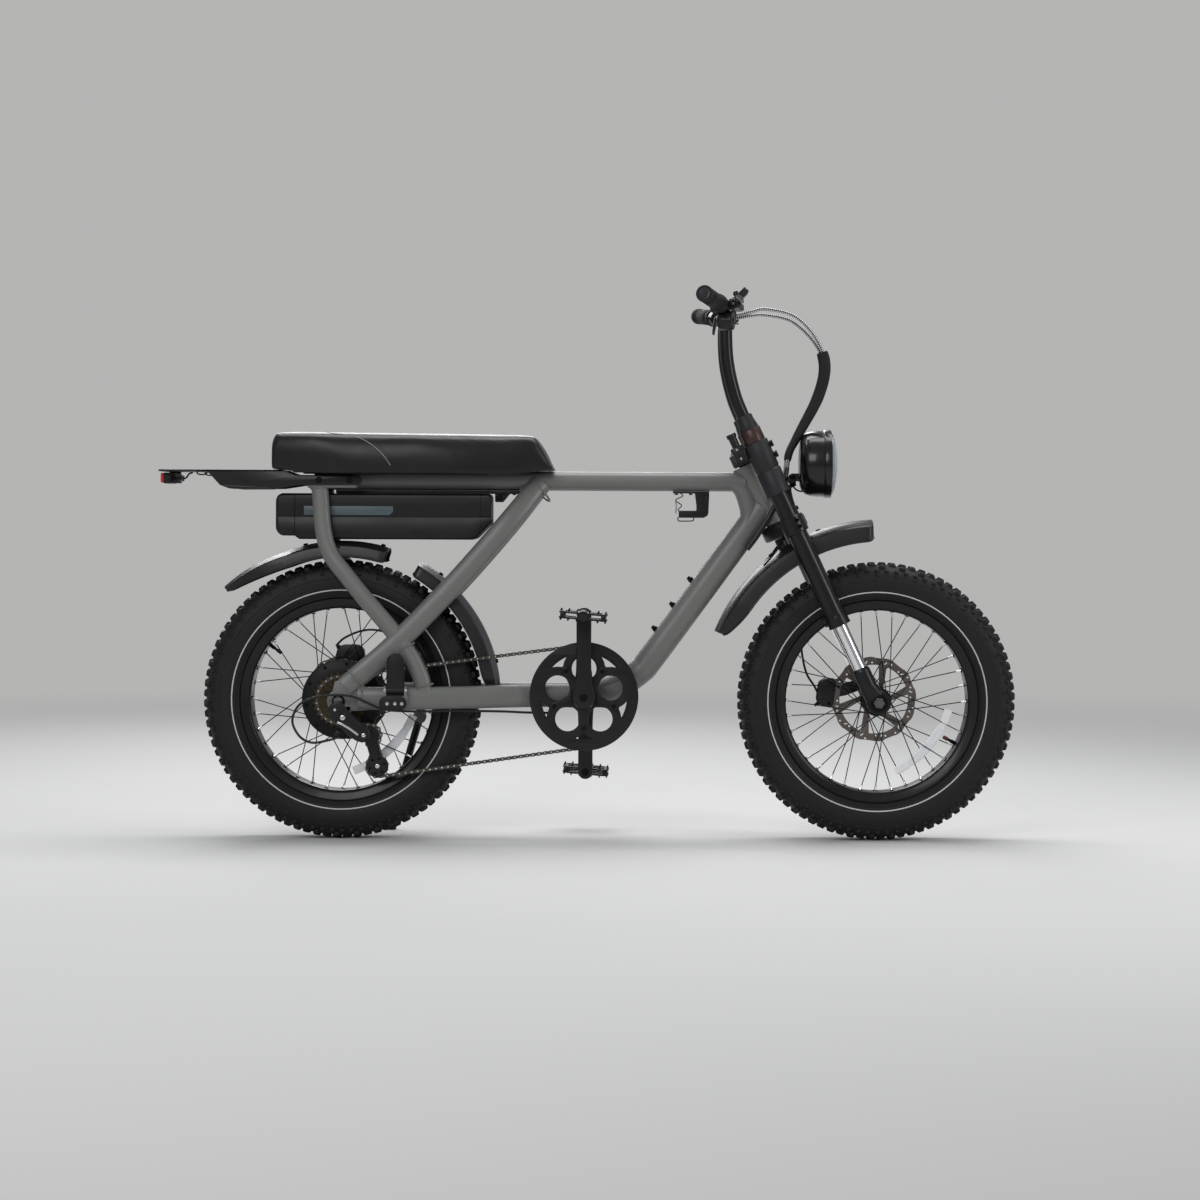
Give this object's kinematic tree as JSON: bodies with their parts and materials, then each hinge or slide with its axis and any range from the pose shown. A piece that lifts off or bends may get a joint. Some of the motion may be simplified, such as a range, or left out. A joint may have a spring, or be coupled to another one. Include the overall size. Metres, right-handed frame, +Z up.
{
  "type": "fat tire electric bike",
  "caption": "Long-seat electric bike with fat knobbly tyres, a double-crown sprung fork, tall bars, fenders, a rear rack and a slide-out battery under the top tube.",
  "frame": {"origin": "the floor, midway between the bike's ends and on its middle plane", "axes": "+X forward, +Y to the rider's left, +Z up; the drive side, with the chain, is on -Y"},
  "size_m": [1.783, 0.7168, 1.1499],
  "materials": {
    "black_metal": "satin black",
    "black_plastic": "moulded matt",
    "black_vinyl": "grained matt",
    "bright_steel": "bright brushed",
    "brown_steel": "brown oiled",
    "clear_lens": "clear",
    "fender_plastic": "satin black",
    "frame_paint": "satin",
    "gloss_black": "gloss",
    "grey_metal": "dark anodised",
    "red_lens": "clear red",
    "rubber": "matt"
  },
  "bodies": {
    "frame": {"main_frame": "frame_paint", "seat_pan": "black_plastic", "seat_cushion": "black_vinyl", "rear_rack": "black_metal", "tail_light_housing": "black_plastic", "tail_light_lens": "red_lens", "rear_fender_tail": "fender_plastic", "rear_fender_front": "fender_plastic", "battery_dock": "black_plastic", "utility_bracket": "black_metal", "rear_axle": "bright_steel", "rear_caliper": "black_metal", "derailleur_body": "black_metal", "chainstay_cables": "black_plastic", "chain": "grey_metal"},
    "battery": {"battery_pack": "black_plastic"},
    "kickstand": {"kickstand_leg": "black_metal"},
    "right_foot_peg": {"foot_peg_right": "black_metal"},
    "left_foot_peg": {"foot_peg_left": "black_metal"},
    "crankset": {"crank_right": "black_metal", "chainring": "gloss_black", "crank_left": "black_metal"},
    "right_pedal": {"pedal_right": "black_plastic"},
    "left_pedal": {"pedal_left": "black_plastic"},
    "rear_wheel": {"hub_motor": "black_metal", "rear_rim": "black_metal", "rear_tyre": "rubber", "rear_rotor": "bright_steel"},
    "freewheel_cluster": {"freewheel": "brown_steel"},
    "tension_cage": {"derailleur_cage": "black_metal"},
    "lower_jockey": {"lower_jockey_wheel": "black_plastic"},
    "upper_jockey": {"upper_jockey_wheel": "black_plastic"},
    "steering_assembly": {"lower_crown": "black_metal", "upper_crown": "black_metal", "fork_leg_right": "black_metal", "fork_leg_left": "black_metal", "handlebar": "black_metal", "left_grip": "rubber", "right_lever_perch": "black_metal", "left_lever_perch": "black_metal", "display": "gloss_black", "key_switch": "black_plastic", "front_fender": "fender_plastic", "headlight_bracket": "black_metal", "steering_cable_bundle": "black_plastic"},
    "headlight": {"headlight_housing": "gloss_black", "headlight_lens": "clear_lens"},
    "throttle": {"twist_throttle": "rubber"},
    "right_lever": {"right_brake_lever": "black_metal"},
    "left_lever": {"left_brake_lever": "black_metal"},
    "shifter": {"shift_lever": "black_plastic"},
    "button": {"display_button": "black_plastic"},
    "fork_slider": {"stanchion_right": "bright_steel", "stanchion_left": "bright_steel", "front_axle": "bright_steel", "front_caliper": "black_metal"},
    "front_wheel": {"front_hub": "black_metal", "front_rim": "black_metal", "front_tyre": "rubber", "front_rotor": "bright_steel"}
  },
  "joints": [
    {"name": "rear_wheel_spin", "type": "hinge", "parent": "frame", "child": "rear_wheel", "pos_m": [-0.5125, 0, 0.29], "axis": [0, 1, 0], "continuous": true},
    {"name": "crank_spin", "type": "hinge", "parent": "frame", "child": "crankset", "pos_m": [-0.0075, 0, 0.3], "axis": [0, 1, 0], "continuous": true, "deforming": ["chain"]},
    {"name": "right_pedal_spin", "type": "hinge", "parent": "crankset", "child": "right_pedal", "pos_m": [-0.0075, 0, 0.47], "axis": [0, 1, 0], "continuous": true},
    {"name": "left_pedal_spin", "type": "hinge", "parent": "crankset", "child": "left_pedal", "pos_m": [-0.0075, 0, 0.13], "axis": [0, 1, 0], "continuous": true},
    {"name": "freewheel_spin", "type": "hinge", "parent": "frame", "child": "freewheel_cluster", "pos_m": [-0.5125, 0, 0.29], "axis": [0, 1, 0], "continuous": true, "deforming": ["chain"]},
    {"name": "cage_swing", "type": "hinge", "parent": "frame", "child": "tension_cage", "pos_m": [-0.4575, -0.062, 0.222], "axis": [0, 1, 0], "range_deg": [-10, 30], "stiffness_Nm_per_rad": 0.6, "springref_deg": 45.84, "deforming": ["chain"]},
    {"name": "lower_jockey_spin", "type": "hinge", "parent": "tension_cage", "child": "lower_jockey", "pos_m": [-0.4345, -0.062, 0.15377], "axis": [0, 1, 0], "continuous": true, "deforming": ["chain"]},
    {"name": "upper_jockey_spin", "type": "hinge", "parent": "tension_cage", "child": "upper_jockey", "pos_m": [-0.45049, -0.062, 0.21702], "axis": [0, 1, 0], "continuous": true, "deforming": ["chain"]},
    {"name": "battery_slide", "type": "slide", "parent": "frame", "child": "battery", "axis": [-1, 0, 0], "range_m": [0, 0.32]},
    {"name": "kickstand_fold", "type": "hinge", "parent": "frame", "child": "kickstand", "pos_m": [-0.3605, 0.118, 0.247], "axis": [-0.0759, 0.993, 0.091], "range_deg": [0, 72]},
    {"name": "right_peg_fold", "type": "hinge", "parent": "frame", "child": "right_foot_peg", "pos_m": [-0.3935, -0.124, 0.314], "axis": [1, 0, 0], "range_deg": [0, 90]},
    {"name": "left_peg_fold", "type": "hinge", "parent": "frame", "child": "left_foot_peg", "pos_m": [-0.3935, 0.124, 0.314], "axis": [-1, 0, 0], "range_deg": [0, 90]},
    {"name": "steering_turn", "type": "hinge", "parent": "frame", "child": "steering_assembly", "pos_m": [0.56528, 0, 0.27303], "axis": [-0.4242, 0, 0.9056], "range_deg": [-40, 40], "deforming": ["steering_cable_bundle"]},
    {"name": "fork_travel", "type": "slide", "parent": "steering_assembly", "child": "fork_slider", "axis": [-0.4242, 0, 0.9056], "range_m": [0, 0.06], "stiffness_N_per_m": 9000, "springref_m": -0.02},
    {"name": "front_wheel_spin", "type": "hinge", "parent": "fork_slider", "child": "front_wheel", "pos_m": [0.6015, 0, 0.29], "axis": [0, 1, 0], "continuous": true},
    {"name": "headlight_tilt", "type": "hinge", "parent": "steering_assembly", "child": "headlight", "pos_m": [0.42511, 0, 0.75731], "axis": [0, 1, 0], "range_deg": [-15, 8]},
    {"name": "throttle_twist", "type": "hinge", "parent": "steering_assembly", "child": "throttle", "pos_m": [0.2655, -0.225, 1.103], "axis": [-0.2542, -0.9627, 0.0924], "range_deg": [0, 70], "stiffness_Nm_per_rad": 0.25},
    {"name": "right_lever_pull", "type": "hinge", "parent": "steering_assembly", "child": "right_lever", "pos_m": [0.30292, -0.23993, 1.10443], "axis": [0, -0.0956, -0.9954], "range_deg": [0, 18], "stiffness_Nm_per_rad": 2},
    {"name": "left_lever_pull", "type": "hinge", "parent": "steering_assembly", "child": "left_lever", "pos_m": [0.30292, 0.23993, 1.10443], "axis": [0, -0.0956, 0.9954], "range_deg": [0, 18], "stiffness_Nm_per_rad": 2},
    {"name": "shift_lever_press", "type": "hinge", "parent": "steering_assembly", "child": "shifter", "pos_m": [0.26001, -0.19658, 1.07013], "axis": [0.9672, -0.253, 0.0243], "range_deg": [0, 20], "stiffness_Nm_per_rad": 1},
    {"name": "button_press", "type": "slide", "parent": "steering_assembly", "child": "button", "axis": [0.7071, 0, -0.7071], "range_m": [0, 0.001], "stiffness_N_per_m": 2000}
  ],
  "couplings": [
    {"joint": "freewheel_spin", "follows": "crank_spin", "ratio": 2.1667},
    {"joint": "lower_jockey_spin", "follows": "crank_spin", "ratio": 4.7273},
    {"joint": "upper_jockey_spin", "follows": "crank_spin", "ratio": -4.7273}
  ]
}
